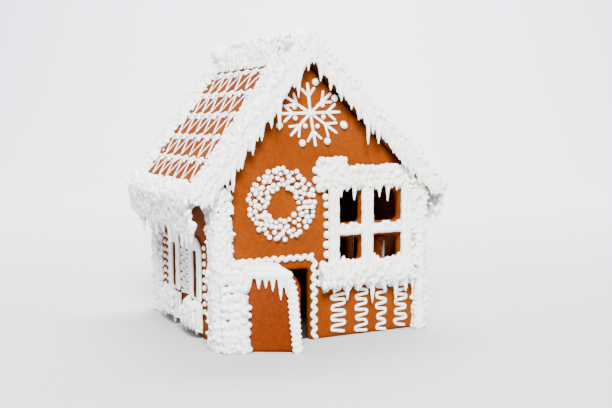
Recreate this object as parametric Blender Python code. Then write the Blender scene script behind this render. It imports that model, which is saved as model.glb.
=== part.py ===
"""Gingerbread house with royal icing, in metres, +Z up.

The origin is on the ground in the middle of the four walls. The front gable, with the
door and the four-pane window, faces -Y, and the ridge runs along Y.
"""

import math
import random

import bmesh
import bpy
from mathutils import Matrix, Vector

MM = 0.001

# Driving dimensions of the gingerbread
HOUSE_WIDTH = 150 * MM
HOUSE_DEPTH = 142 * MM
SLAB = 7 * MM
GAP = 0.3 * MM
CRUST_ROUND = 1.2 * MM

# The roof: the ridge line and the two eave lines, all on the roof's outer faces
RIDGE = Vector((-14.5 * MM, 199.5 * MM))
EAVES = {"left": Vector((-91.4 * MM, 99.8 * MM)), "right": Vector((86.7 * MM, 101.9 * MM))}
ROOF_OVERHANG = 6 * MM

# Doorway, door and windows
DOORWAY = {"left": -50 * MM, "right": -11 * MM, "top": 48.5 * MM}
DOOR_WIDTH = 42 * MM
DOOR_HEIGHT = 53 * MM
DOOR_THICK = 6 * MM
DOOR_ARCH = 13 * MM
DOOR_HINGE = Vector((-67.5 * MM, -77.6 * MM, 0.0))
DOOR_AJAR = math.radians(28)
PANE_COLUMNS = ((9.5 * MM, 27.0 * MM), (36.0 * MM, 58.0 * MM))
PANE_ROWS = ((52.0 * MM, 67.6 * MM), (78.2 * MM, 103.0 * MM))
PANE_ARCH = 11 * MM
SIDE_WINDOWS = {"near": -26 * MM, "far": 22 * MM}
SLOT_WIDTH = 11 * MM
SLOT_BOTTOM = 27 * MM
SLOT_TOP = 59 * MM

# Icing
VERGE_HANG = 11 * MM
VERGE_COVER = {"front": (34 * MM, 18 * MM), "back": (14 * MM, 12 * MM)}
VERGE_LIP = 2.6 * MM
VERGE_CREST = 5.0 * MM
EAVE_BAND = 14 * MM
RIDGE_BAND = 14 * MM
RIDGE_CROWN = 6 * MM
CORNER_TOP = 89 * MM
SURROUND_WIDTH = 25 * MM
SURROUND_THICK = 2.6 * MM
WREATH = {"x": -31.5 * MM, "z": 93 * MM, "outer": 25 * MM, "inner": 9.5 * MM, "thick": 4.4 * MM}
SNOWFLAKE = {"x": -10.7 * MM, "z": 152 * MM, "radius": 20 * MM, "thick": 1.6 * MM}

for old in list(bpy.data.objects):
    bpy.data.objects.remove(old, do_unlink=True)

house = bpy.data.collections.new("gingerbread_house")
bpy.context.scene.collection.children.link(house)


def new_material(name, colour, roughness):
    material = bpy.data.materials.new(name)
    material.use_nodes = True
    shader = material.node_tree.nodes["Principled BSDF"]
    shader.inputs["Base Color"].default_value = (*colour, 1.0)
    shader.inputs["Roughness"].default_value = roughness
    shader.inputs["Metallic"].default_value = 0.0
    return material


GINGERBREAD = new_material("gingerbread", (0.53, 0.15, 0.03), 0.62)
ROYAL_ICING = new_material("royal_icing", (0.87, 0.87, 0.83), 0.45)


def add_object(name, data, material):
    obj = bpy.data.objects.new(name, data)
    data.materials.append(material)
    house.objects.link(obj)
    return obj


# ---------------------------------------------------------------- gingerbread slabs


def rounded(points, radii, steps=4):
    """A closed outline with each corner turned into an arc of its own radius."""
    outline = []
    count = len(points)
    for index, (corner, radius) in enumerate(zip(points, radii)):
        corner = Vector(corner)
        to_last = (Vector(points[index - 1]) - corner).normalized()
        to_next = (Vector(points[(index + 1) % count]) - corner).normalized()
        if radius <= 0:
            outline.append(corner)
            continue
        half_turn = to_last.angle(to_next) / 2
        reach = radius / math.tan(half_turn)
        centre = corner + (to_last + to_next).normalized() * (radius / math.sin(half_turn))
        start = corner + to_last * reach - centre
        end = corner + to_next * reach - centre
        sweep = start.angle_signed(end)
        for step in range(steps + 1):
            turned = Matrix.Rotation(-sweep * step / steps, 2) @ start
            outline.append(centre + turned)
    return outline


def add_slab(name, outline, holes, thick, placement, material=None):
    """A flat slab with softly rounded edges: its outline is in the slab's own X and Y,
    and its outer face looks along the slab's own +Z."""
    curve = bpy.data.curves.new(name, "CURVE")
    curve.dimensions = "2D"
    curve.fill_mode = "BOTH"
    curve.bevel_depth = min(CRUST_ROUND, thick * 0.3)
    curve.bevel_resolution = 1 if thick > 4 * MM else 0
    curve.offset = -curve.bevel_depth
    curve.extrude = thick / 2 - curve.bevel_depth
    for ring in [outline, *holes]:
        spline = curve.splines.new("POLY")
        spline.points.add(len(ring) - 1)
        for point, place in zip(spline.points, ring):
            point.co = (place[0], place[1], 0.0, 1.0)
        spline.use_cyclic_u = True
    slab = add_object(name, curve, material or GINGERBREAD)
    slab.matrix_world = placement @ Matrix.Translation((0.0, 0.0, -thick / 2))
    return slab


def facing(direction, origin):
    """A placement whose own Z looks along direction, with its own Y as upright as it can be."""
    out = Vector(direction).normalized()
    across = Vector((0.0, 0.0, 1.0)).cross(out).normalized()
    up = out.cross(across)
    return Matrix.Translation(origin) @ Matrix((across, up, out)).transposed().to_4x4()


def slope(side):
    """(direction down the slope, outward normal, length) of one roof face, in X and Z."""
    down = EAVES[side] - RIDGE
    length = down.length
    down = down.normalized()
    turn = 1 if side == "right" else -1
    return down, Vector((-down.y, down.x)) * turn, length


def roof_height(x, below):
    """Z of the line that lies this far under the roof's outer face, above a place X."""
    down, normal, _ = slope("right" if x > RIDGE.x else "left")
    start = RIDGE - normal * below
    return start.y + (x - start.x) * down.y / down.x


def slab_start(side):
    """How far from the ridge a slab starts: the slabs' lower edges meet under the ridge
    and leave a groove above, which the ridge icing fills."""
    down, normal, _ = slope(side)
    return (SLAB * abs(normal.x) + GAP / 2) / abs(down.x)


half_width = HOUSE_WIDTH / 2
half_depth = HOUSE_DEPTH / 2
under_roof = SLAB + GAP


def gable_outline():
    peak_x = RIDGE.x
    peak_z = min(roof_height(peak_x - MM, under_roof), roof_height(peak_x + MM, under_roof))
    corners = [
        (-half_width, 0.0),
        (half_width, 0.0),
        (half_width, roof_height(half_width, under_roof)),
        (peak_x, peak_z - 0.5 * MM),
        (-half_width, roof_height(-half_width, under_roof)),
    ]
    return corners


def pane(column, row):
    """One window opening. The outer top corners of the upper panes are arched."""
    left, right = PANE_COLUMNS[column]
    low, high = PANE_ROWS[row]
    small = 1.5 * MM
    arch_left = PANE_ARCH if (row == 1 and column == 0) else small
    arch_right = PANE_ARCH if (row == 1 and column == 1) else small
    corners = [(left, low), (right, low), (right, high), (left, high)]
    return rounded(corners, [small, small, arch_right, arch_left], steps=5)


doorway = rounded(
    [
        (DOORWAY["left"], 0.0),
        (DOORWAY["right"], 0.0),
        (DOORWAY["right"], DOORWAY["top"]),
        (DOORWAY["left"], DOORWAY["top"]),
    ],
    [0, 0, 1.5 * MM, 1.5 * MM],
    steps=2,
)

# The doorway is open at the foot of the wall, so it is a notch in the outline.
gable = gable_outline()
front_outline = [gable[0], doorway[0], *reversed(doorway[2:]), doorway[1], *gable[1:]]
front_panes = [pane(column, row) for column in (0, 1) for row in (0, 1)]
front = facing((0, -1, 0), (0, -half_depth, 0))
add_slab("wall_front", front_outline, front_panes, SLAB, front)

back_outline = [(-x, z) for x, z in reversed(gable_outline())]
add_slab("wall_back", back_outline, [], SLAB, facing((0, 1, 0), (0, half_depth, 0)))


def slot(centre):
    left, right = centre - SLOT_WIDTH / 2, centre + SLOT_WIDTH / 2
    corners = [(left, SLOT_BOTTOM), (right, SLOT_BOTTOM), (right, SLOT_TOP), (left, SLOT_TOP)]
    return rounded(corners, [1.5 * MM] * 4, steps=2)


side_run = half_depth - SLAB - GAP
for side, out in (("left", -1), ("right", 1)):
    top = roof_height(out * half_width, under_roof) - CRUST_ROUND
    side_outline = [(-side_run, 0.0), (side_run, 0.0), (side_run, top), (-side_run, top)]
    slots = [slot(out * place) for place in SIDE_WINDOWS.values()]
    placement = facing((out, 0, 0), (out * half_width, 0, 0))
    add_slab(f"wall_{side}", side_outline, slots, SLAB, placement)

roof_run = half_depth + ROOF_OVERHANG
for side, out in (("left", -1), ("right", 1)):
    down, normal, length = slope(side)
    start = slab_start(side)
    panel = [(-roof_run, -length), (roof_run, -length), (roof_run, -start), (-roof_run, -start)]
    placement = facing((normal.x, 0, normal.y), (RIDGE.x, 0, RIDGE.y))
    add_slab(f"roof_{side}", panel, [], SLAB, placement)

door_outline = rounded(
    [(0, 0), (DOOR_WIDTH, 0), (DOOR_WIDTH, DOOR_HEIGHT), (0, DOOR_HEIGHT)],
    [0, 0, DOOR_ARCH, 2 * MM],
    steps=6,
)
door_face = facing((-math.sin(DOOR_AJAR), -math.cos(DOOR_AJAR), 0), DOOR_HINGE)
add_slab("door", door_outline, [], DOOR_THICK, door_face)


# ---------------------------------------------------------------- icing masses


def loft(name, sections):
    """A closed body through a row of rings that each have the same number of points."""
    mesh = bpy.data.meshes.new(name)
    shape = bmesh.new()
    rings = [[shape.verts.new(point) for point in ring] for ring in sections]
    for ring, following in zip(rings, rings[1:]):
        for index in range(len(ring)):
            after = (index + 1) % len(ring)
            shape.faces.new((ring[index], ring[after], following[after], following[index]))
    shape.faces.new(rings[0])
    shape.faces.new(rings[-1])
    bmesh.ops.triangulate(shape, faces=shape.faces[:], quad_method="BEAUTY", ngon_method="EAR_CLIP")
    bmesh.ops.recalc_face_normals(shape, faces=shape.faces[:])
    shape.to_mesh(mesh)
    shape.free()
    return add_object(name, mesh, ROYAL_ICING)


def stations(start, end, pitch):
    """Evenly spaced places from start to end, no further apart than pitch."""
    count = max(2, math.ceil(abs(end - start) / pitch))
    return [start + (end - start) * index / count for index in range(count + 1)]


def wavering(seed, low, high):
    """A function that gives an uneven size between low and high, the same on each run."""
    source = random.Random(seed)
    return lambda: source.uniform(low, high)


def roof_point(side, along, y, proud):
    """A place on a roof face: along the slope from the ridge, and this far off the face."""
    down, normal, _ = slope(side)
    spot = RIDGE + down * along + normal * proud
    return Vector((spot.x, y, spot.y))


def ridge_start(side, proud, clear):
    """How far down the slope a line at this height meets the upright plane over the ridge."""
    down, normal, _ = slope(side)
    return (clear - proud * abs(normal.x)) / abs(down.x)


def verge_reach(place, share):
    """How far a verge reaches back over its slab, at this share of the way down."""
    at_ridge, at_foot = VERGE_COVER[place]
    return at_ridge + (at_foot - at_ridge) * share


def add_verge(side, place):
    """The icing over one gable edge of a roof slab, at the front or the back: it lies on
    the slab, covers its cut edge and hangs below it in teeth."""
    name = f"icing_verge_{place}_{side}"
    end = -1 if place == "front" else 1
    _, _, length = slope(side)
    edge = roof_run + GAP
    lump = wavering(name, 0.82, 1.12)
    ragged = wavering(name + "inner", 0.0, 1.6 * MM)
    rings = []
    places = stations(0.0, 1.0, 5.5 * MM / length)
    for index, share in enumerate(places):
        tall = lump()
        tooth = VERGE_HANG * (1.15 if index % 2 else 0.85) * lump()
        inner = roof_run - verge_reach(place, share) + ragged()
        profile = [
            (inner, GAP),
            (inner + 2 * MM, VERGE_LIP * tall),
            (roof_run - 5.5 * MM, VERGE_CREST * tall),
            (edge + 2 * MM, 4.8 * MM * tall),
            (edge + 4.6 * MM * lump(), -1 * MM),
            (edge + 4.4 * MM * lump(), -7 * MM),
            (edge + 2.6 * MM, -tooth),
            (edge + 0.4 * MM, 1 * MM - VERGE_HANG * 0.8),
            (edge, GAP),
        ]
        ring = []
        for y, proud in profile:
            first = ridge_start(side, proud, GAP)
            last = length + 1.5 * MM
            ring.append(roof_point(side, first + (last - first) * share, end * y, proud))
        rings.append(ring)
    loft(name, rings)


for place in ("front", "back"):
    for side in ("left", "right"):
        add_verge(side, place)

ridge_front = -(roof_run - verge_reach("front", 0) - GAP)
ridge_back = roof_run - verge_reach("back", 0) - GAP
lump = wavering("ridge", 0.85, 1.15)
ridge_rings = []
for y in stations(ridge_front, ridge_back, 7 * MM):
    skirt_left = RIDGE_BAND * lump()
    skirt_right = RIDGE_BAND * lump()
    crown = RIDGE_CROWN * lump()
    ridge_rings.append(
        [
            roof_point("left", skirt_left, y, GAP),
            roof_point("left", skirt_left, y, 2.4 * MM),
            roof_point("left", skirt_left * 0.5, y, 5.2 * MM),
            Vector((RIDGE.x, y, RIDGE.y + crown)),
            roof_point("right", skirt_right * 0.5, y, 5.2 * MM),
            roof_point("right", skirt_right, y, 2.4 * MM),
            roof_point("right", skirt_right, y, GAP),
            roof_point("right", slab_start("right") - GAP, y, GAP),
            Vector((RIDGE.x, y, RIDGE.y - 5 * MM)),
            roof_point("left", slab_start("left") - GAP, y, GAP),
        ]
    )
loft("icing_ridge", ridge_rings)

for side in ("left", "right"):
    _, _, length = slope(side)
    band_start = 1 - 1.2 * EAVE_BAND / length
    eave_front = -(roof_run - verge_reach("front", band_start) - GAP)
    eave_back = roof_run - verge_reach("back", band_start) - GAP
    lump = wavering("eave" + side, 0.85, 1.15)
    rings = []
    for index, y in enumerate(stations(eave_front, eave_back, 5 * MM)):
        drop = (17 if index % 2 else 12) * MM * lump()
        bulge = 6 * MM * lump()
        profile = [
            (length - EAVE_BAND * lump(), GAP),
            (length - EAVE_BAND * 0.8, 3.2 * MM),
            (length - 2 * MM, 5.0 * MM * lump()),
            (length + bulge, 1.5 * MM),
            (length + bulge + 1 * MM, -5 * MM),
            (length + drop * 0.75, -drop * 0.7),
            (length + 1.5 * MM, -9.5 * MM),
            (length + GAP, -SLAB),
            (length + GAP, GAP),
        ]
        rings.append([roof_point(side, along, y, proud) for along, proud in profile])
    loft(f"icing_eave_{side}", rings)


def add_corner(name, across, along, seed):
    """The icing column up one corner of the walls: an uneven angle in plan, with a
    lumpy outside. across and along are the signs of the corner's X and Y."""
    lump = wavering(seed, 0.85, 1.15)
    rings = []
    for index, z in enumerate(stations(0.0, CORNER_TOP, 5 * MM)):
        scallop = 1.0 if index % 2 else 0.8
        wide_x = 7.0 * MM * scallop * lump()
        wide_y = 15.0 * MM * scallop * lump()
        proud = 6.2 * MM * lump()
        side_proud = 4.6 * MM * lump()
        profile = [
            (half_width + GAP, half_depth - wide_y),
            (half_width + side_proud * 0.7, half_depth - wide_y * 0.9),
            (half_width + side_proud, half_depth - 4 * MM),
            (half_width + 3.6 * MM, half_depth + 3.6 * MM),
            (half_width - 2 * MM, half_depth + proud),
            (half_width - wide_x * 0.9, half_depth + proud * 0.7),
            (half_width - wide_x, half_depth + GAP),
            (half_width + GAP, half_depth + GAP),
        ]
        rings.append([Vector((across * x, along * y, z)) for x, y in profile])
    loft(name, rings)


for along, place in ((-1, "front"), (1, "back")):
    for across, side in ((-1, "left"), (1, "right")):
        add_corner(f"icing_corner_{place}_{side}", across, along, place + side)

# The mass that holds the door: it wraps the hinge side from in front, from the corner
# column to a little way over the door's face.
lump = wavering("hinge", 0.85, 1.15)
door_out = Vector((-math.sin(DOOR_AJAR), -math.cos(DOOR_AJAR)))
door_along = Vector((math.cos(DOOR_AJAR), -math.sin(DOOR_AJAR)))
hinge = DOOR_HINGE.xy
column_edge = -half_width + 8.4 * MM
rings = []
for index, z in enumerate(stations(0.0, DOOR_HEIGHT + 4 * MM, 5 * MM)):
    over_door = (10.5 if index % 2 else 8.5) * MM * lump()
    thick = 4.6 * MM * lump()
    inner = hinge + door_out * GAP
    far = hinge + door_along * over_door + door_out * GAP
    ring = [
        Vector((column_edge, inner.y - 0.8 * MM)),
        inner + door_along * 3 * MM,
        far,
        far + door_out * thick * 0.6 - door_along * 0.5 * MM,
        far + door_out * thick - door_along * 1.5 * MM,
        Vector((column_edge + 0.8 * MM, inner.y - thick - 1.0 * MM)),
        Vector((column_edge, inner.y - thick)),
    ]
    rings.append([Vector((spot.x, spot.y, z)) for spot in ring])
loft("icing_door_hinge", rings)


def add_band(name, placement, run, low, high, thick, pitch, seed):
    """Icing piped on a flat face: run is its start and end along the face's own X.
    low, high and thick give its lower edge, upper edge and depth at a place along it."""
    lump = wavering(seed, 0.88, 1.12)
    rings = []
    for index, along in enumerate(stations(*run, pitch)):
        bottom, top, depth = low(along, index), high(along, index), thick * lump()
        middle = (bottom + top) / 2
        profile = [
            (bottom, GAP),
            (bottom * 0.9 + top * 0.1, depth * 0.75),
            (middle, depth),
            (bottom * 0.1 + top * 0.9, depth * 0.75),
            (top, GAP),
        ]
        rings.append([placement @ Vector((along, up, out)) for up, out in profile])
    loft(name, rings)


def teeth(level, depth):
    """A lower edge that hangs in icicles."""
    return lambda along, index: level - (depth if index % 2 else 0.0)


def scallops(level, height):
    """An upper edge in a row of bumps."""
    return lambda along, index: level + (height if index % 2 else 0.0)


def level(value):
    return lambda along, index: value


left_column, right_column = PANE_COLUMNS
low_row, high_row = PANE_ROWS
edge = 0.8 * MM


def hood_top(along, index):
    lump_end = left_column[0] + 5 * MM
    rise = 6 * MM if along < lump_end else 0.0
    wanted = 116 * MM + rise + (0.8 * MM if index % 2 else 0.0)
    return min(wanted, roof_height(along, under_roof) - 1 * MM)


window_span = (-5 * MM, 66.3 * MM)
add_band(
    "icing_window_hood", front, window_span, teeth(104 * MM, 5 * MM), hood_top, 5.2 * MM, 4.2 * MM, "hood"
)
add_band(
    "icing_window_sill",
    front,
    window_span,
    teeth(38 * MM, 7 * MM),
    scallops(50.5 * MM, 1 * MM),
    9 * MM,
    4.2 * MM,
    "sill",
)


def add_post(name, left, right):
    """Icing up the wall beside or between the panes, from the sill to the hood."""
    upright = front @ Matrix.Rotation(math.radians(90), 4, "Z")
    span = (low_row[0] + GAP, high_row[1] - 4.6 * MM)
    add_band(name, upright, span, level(-right), level(-left), 4.6 * MM, 6 * MM, name)


add_post("icing_window_post_left", 2.6 * MM, left_column[0] - edge)
add_post("icing_window_post_middle", left_column[1] + edge, right_column[0] - edge)
add_post("icing_window_post_right", right_column[1] + edge, 66 * MM)
for name, column in (("left", left_column), ("right", right_column)):
    bar_low = low_row[1] + 2 * MM
    bar_high = high_row[0] - 1 * MM
    span = (column[0] - edge + GAP, column[1] + edge - GAP)
    bar = f"icing_window_bar_{name}"
    add_band(bar, front, span, level(bar_low), level(bar_high), 4.2 * MM, 5 * MM, bar)

# Side windows: a smooth arched surround of poured icing, and a heaped sill below it.
for side, out in (("left", -1), ("right", 1)):
    wall = facing((out, 0, 0), (out * (half_width + GAP), 0, 0))
    for which, place in SIDE_WINDOWS.items():
        centre = out * place
        left, right = centre - SURROUND_WIDTH / 2, centre + SURROUND_WIDTH / 2
        foot = SLOT_BOTTOM - 2 * MM
        crown = 69 * MM
        arch = SURROUND_WIDTH / 2 - 1.5 * MM
        corners = [(left, foot), (right, foot), (right, crown), (left, crown)]
        plate = rounded(corners, [2 * MM, 2 * MM, arch, arch], steps=6)
        raised = wall @ Matrix.Translation((0.0, 0.0, SURROUND_THICK))
        name = f"icing_window_surround_{side}_{which}"
        add_slab(name, plate, [slot(centre)], SURROUND_THICK, raised, ROYAL_ICING)
        name = f"icing_window_box_{side}_{which}"
        span = (left - 0.5 * MM, right + 0.5 * MM)
        box_low = teeth(9 * MM, 5 * MM)
        add_band(name, wall, span, box_low, scallops(23.4 * MM, 1 * MM), 8 * MM, 4.3 * MM, name)

# Icing on the door: a band of icicles along its top and a piped edge down its free side.
door_top = DOOR_HEIGHT - 0.5 * MM
door_side = DOOR_WIDTH - 7 * MM
add_band(
    "icing_door_top",
    door_face,
    (12.5 * MM, door_side - GAP),
    teeth(DOOR_HEIGHT - 5 * MM, 6 * MM),
    level(door_top),
    3.2 * MM,
    2.7 * MM,
    "door_top",
)
door_upright = door_face @ Matrix.Rotation(math.radians(90), 4, "Z")


def door_edge(along, index):
    """The door's free edge, which curves in under its arched top corner."""
    above = max(0.0, along - (DOOR_HEIGHT - DOOR_ARCH))
    curve_in = DOOR_ARCH - math.sqrt(max(0.0, DOOR_ARCH**2 - above**2))
    return -(DOOR_WIDTH - 0.5 * MM - curve_in) - (0.4 * MM if index % 2 else 0.0)


side_span = (0.0, DOOR_HEIGHT - 5 * MM)
add_band(
    "icing_door_side", door_upright, side_span, door_edge, level(-door_side), 3.0 * MM, 4.2 * MM, "edge"
)

# The wreath is a ring of piled dots, and the snowflake a star of piped lines.
ring_middle = (WREATH["outer"] + WREATH["inner"]) / 2
ring_half = (WREATH["outer"] - WREATH["inner"]) / 2
bpy.ops.mesh.primitive_torus_add(
    major_segments=28, minor_segments=8, major_radius=ring_middle, minor_radius=ring_half
)
wreath = bpy.context.object
wreath.name = "icing_wreath"
wreath.data.materials.append(ROYAL_ICING)
for collection in list(wreath.users_collection):
    collection.objects.unlink(wreath)
house.objects.link(wreath)
flatten = WREATH["thick"] / (2 * ring_half)
for index, vertex in enumerate(wreath.data.vertices):
    angle = math.atan2(vertex.co.y, vertex.co.x)
    lobes = 1 + 0.03 * math.cos(14 * angle) + 0.02 * math.sin(5 * angle)
    vertex.co = (vertex.co.x * lobes, vertex.co.y * lobes, vertex.co.z * flatten)
rest = WREATH["thick"] / 2 + GAP
wreath.matrix_world = front @ Matrix.Translation((WREATH["x"], WREATH["z"], rest))

star = []
for arm in range(8):
    heading = math.radians(45 * arm + 2)
    reach = SNOWFLAKE["radius"]
    for out, half in ((0.14, 1.1), (0.52, 0.8), (0.72, 3.6), (0.80, 3.6), (0.80, 1.0), (1.0, 1.2)):
        star.append((heading, out * reach, -half * MM))
    for out, half in ((1.0, 1.2), (0.80, 1.0), (0.80, 3.6), (0.72, 3.6), (0.52, 0.8)):
        star.append((heading, out * reach, half * MM))
star_outline = [
    (
        out * math.cos(heading) - across * math.sin(heading),
        out * math.sin(heading) + across * math.cos(heading),
    )
    for heading, out, across in star
]
lift = SNOWFLAKE["thick"] + GAP
star_place = front @ Matrix.Translation((SNOWFLAKE["x"], SNOWFLAKE["z"], lift))
add_slab("icing_snowflake", star_outline, [], SNOWFLAKE["thick"], star_place, ROYAL_ICING)

# The origin moves from the middle of the walls to the middle of the whole footprint, which
# the deeper left eave and the open door pull to one side.
bpy.context.view_layer.update()
solid_corners = [
    obj.matrix_world @ Vector(corner)
    for obj in house.objects
    if obj.type == "MESH"
    for corner in obj.bound_box
]
footprint_middle = Vector(
    [
        (min(corner[axis] for corner in solid_corners) + max(corner[axis] for corner in solid_corners)) / 2
        for axis in (0, 1)
    ]
    + [0.0]
)
for obj in house.objects:
    obj.matrix_world = Matrix.Translation(-footprint_middle) @ obj.matrix_world
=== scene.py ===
"""Gingerbread house with royal icing. The frame is +Z up, the gable with the door faces -Y
and the ridge runs along Y. Lengths are in millimetres of the house until at() places them.
"""

import math
import random
from functools import partial
import bmesh
import bpy
import numpy as np
from mathutils import Matrix, Vector, noise


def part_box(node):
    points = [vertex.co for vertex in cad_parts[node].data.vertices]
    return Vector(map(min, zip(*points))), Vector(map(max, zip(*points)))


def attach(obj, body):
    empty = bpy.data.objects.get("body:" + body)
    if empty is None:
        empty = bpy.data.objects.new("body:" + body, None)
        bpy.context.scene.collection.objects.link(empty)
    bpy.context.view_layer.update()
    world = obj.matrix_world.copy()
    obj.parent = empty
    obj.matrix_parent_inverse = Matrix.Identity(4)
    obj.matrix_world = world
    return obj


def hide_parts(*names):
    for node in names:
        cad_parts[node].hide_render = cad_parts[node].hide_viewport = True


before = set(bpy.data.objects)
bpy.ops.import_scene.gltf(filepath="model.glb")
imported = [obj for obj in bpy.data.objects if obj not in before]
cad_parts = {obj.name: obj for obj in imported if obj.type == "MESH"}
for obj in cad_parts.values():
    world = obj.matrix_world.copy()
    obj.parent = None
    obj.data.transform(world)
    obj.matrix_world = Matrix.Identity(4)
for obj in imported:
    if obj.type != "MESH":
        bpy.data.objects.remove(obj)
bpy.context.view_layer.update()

MM = 0.001

# ---------------------------------------------------------------- where the house stands
# The house stands on a pale sweep under soft studio light. All places below are measured
# from the middle of its four walls, on the ground, so that point is found first.

wall_left_box, wall_right_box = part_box("wall_left"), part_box("wall_right")
wall_front_box, wall_back_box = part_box("wall_front"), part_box("wall_back")
MIDDLE = Vector(
    (
        (wall_left_box[0].x + wall_right_box[1].x) / 2,
        (wall_front_box[0].y + wall_back_box[1].y) / 2,
        0.0,
    )
)


def at(x, y, z):
    """A place in the frame, from millimetres measured from the middle of the walls."""
    return MIDDLE + Vector((x, y, z)) * MM


def add_object(name, data):
    """A new object in the scene."""
    item = bpy.data.objects.new(name, data)
    bpy.context.scene.collection.objects.link(item)
    return item


camera_data = bpy.data.cameras.new("camera")
camera_data.lens = 50.3
camera_data.sensor_width = 36.0
camera_data.clip_start = 0.05
camera_data.clip_end = 20.0
camera = add_object("camera", camera_data)
turned_right = math.radians(25.27)
tipped_down = math.radians(5.68)
camera.matrix_world = (
    Matrix.Translation(at(-254, -579.8, 148.2))
    @ Matrix.Rotation(-turned_right, 4, "Z")
    @ Matrix.Rotation(math.radians(90) - tipped_down, 4, "X")
    @ Matrix.Rotation(math.radians(-0.19), 4, "Z")
)
bpy.context.scene.camera = camera


def shader_of(name):
    """A new node material, its node tree and its Principled shader."""
    material = bpy.data.materials.new(name)
    material.use_nodes = True
    return material, material.node_tree, material.node_tree.nodes["Principled BSDF"]


def dull(name, colour):
    """A plain dull material for the studio."""
    material, _, shader = shader_of(name)
    shader.inputs["Base Color"].default_value = (*colour, 1.0)
    shader.inputs["Roughness"].default_value = 0.9
    shader.inputs["Specular IOR Level"].default_value = 0.1
    return material


sweep_mesh = bpy.data.meshes.new("studio_sweep")
sweep_shape = bmesh.new()
sweep_turn, sweep_half, sweep_flat = 1.6, 6.0, 1.2
profile = [(-4.0, 0.0), (sweep_flat, 0.0)]
for step in range(1, 25):
    angle = math.radians(90) * step / 24
    height = sweep_turn * (1 - math.cos(angle))
    profile.append((sweep_flat + sweep_turn * math.sin(angle), height))
profile.append((sweep_flat + sweep_turn, 6.0))
rows = [
    [sweep_shape.verts.new((x, y, z)) for x in (-sweep_half, sweep_half)] for y, z in profile
]
for row, after in zip(rows, rows[1:]):
    sweep_shape.faces.new((row[0], row[1], after[1], after[0]))
bmesh.ops.recalc_face_normals(sweep_shape, faces=sweep_shape.faces[:])
for face in sweep_shape.faces:
    face.smooth = True
sweep_shape.to_mesh(sweep_mesh)
sweep_shape.free()
sweep_mesh.materials.append(dull("studio_paper", (0.44, 0.441, 0.472)))
sweep = add_object("studio_sweep", sweep_mesh)
sweep.rotation_euler = (0.0, 0.0, -turned_right)

# Painted shade: a dark card on the ground inside the walls stands for the shade in the rooms, and
# keeps the pale sweep from lighting them.
card_mesh = bpy.data.meshes.new("studio_painted_shade_card")
card_corners = [at(x, y, 0.15) for x, y in ((-70, -66), (70, -66), (70, 66), (-70, 66))]
card_mesh.from_pydata(card_corners, [], [(0, 1, 2, 3)])
card_mesh.materials.append(dull("studio_shade", (0.03, 0.022, 0.018)))
card = add_object("studio_painted_shade_card", card_mesh)

world = bpy.data.worlds.new("studio")
world.use_nodes = True
sky = world.node_tree.nodes["Background"]
sky.inputs["Color"].default_value = (0.93, 0.95, 1.0, 1.0)
sky.inputs["Strength"].default_value = 0.68
bpy.context.scene.world = world


def add_light(name, place, target, size, power, colour):
    """A square lamp of this size in metres and power in watts, aimed at target."""
    light = bpy.data.lights.new(name, "AREA")
    light.shape = "SQUARE"
    light.size = size
    light.energy = power
    light.color = colour
    lamp = add_object(name, light)
    lamp.location = place
    lamp.rotation_euler = (target - place).to_track_quat("-Z", "Y").to_euler()


add_light("key", at(-420, -1150, 1150), at(0, 0, 80), 0.55, 112.0, (1.0, 0.985, 0.96))
add_light("backdrop", at(500, 700, 1900), at(900, 2300, 500), 1.6, 450.0, (0.92, 0.945, 1.0))

# ---------------------------------------------------------------- gingerbread walls, roof and door
# Seven slabs of rolled gingerbread, cut with a knife and baked, so each is a little uneven,
# with soft edges and corners. The walls stand on the ground, the two roof slabs lean
# on them, and the door is a loose slab that stands ajar in front of its doorway.

crust, crust_tree, crust_shader = shader_of("gingerbread")


def add_node(tree, kind, **values):
    """A node with some of its inputs set. A value that is a socket is linked instead."""
    node = tree.nodes.new(kind)
    for key, value in values.items():
        socket = node.inputs[key.replace("_", " ")]
        if isinstance(value, bpy.types.NodeSocket):
            tree.links.new(value, socket)
        else:
            socket.default_value = value
    return node


def ramp(tree, factor, *stops):
    """A colour ramp from (position, colour) pairs, driven by factor."""
    node = tree.nodes.new("ShaderNodeValToRGB")
    tree.links.new(factor, node.inputs["Fac"])
    while len(node.color_ramp.elements) < len(stops):
        node.color_ramp.elements.new(0.5)
    for element, (position, colour) in zip(node.color_ramp.elements, stops):
        element.position = position
        element.color = (*colour, 1.0)
    return node.outputs["Color"]


def mixed(tree, kind, factor, first, second):
    """Two colours mixed, either of which may be a socket or a plain colour. The node's
    inputs 0, 6 and 7 and its output 2 are the ones that carry colours."""
    node = tree.nodes.new("ShaderNodeMix")
    node.data_type = "RGBA"
    node.blend_type = kind
    for index, value in ((0, factor), (6, first), (7, second)):
        if isinstance(value, bpy.types.NodeSocket):
            tree.links.new(value, node.inputs[index])
        else:
            node.inputs[index].default_value = value if index == 0 else (*value, 1.0)
    return node.outputs[2]


def roughen(tree, shader, grain):
    """A fine relief on the surface from a noise texture."""
    height = grain.outputs["Fac"]
    bump = add_node(tree, "ShaderNodeBump", Height=height, Strength=0.35, Distance=0.0004)
    tree.links.new(bump.outputs["Normal"], shader.inputs["Normal"])


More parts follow.
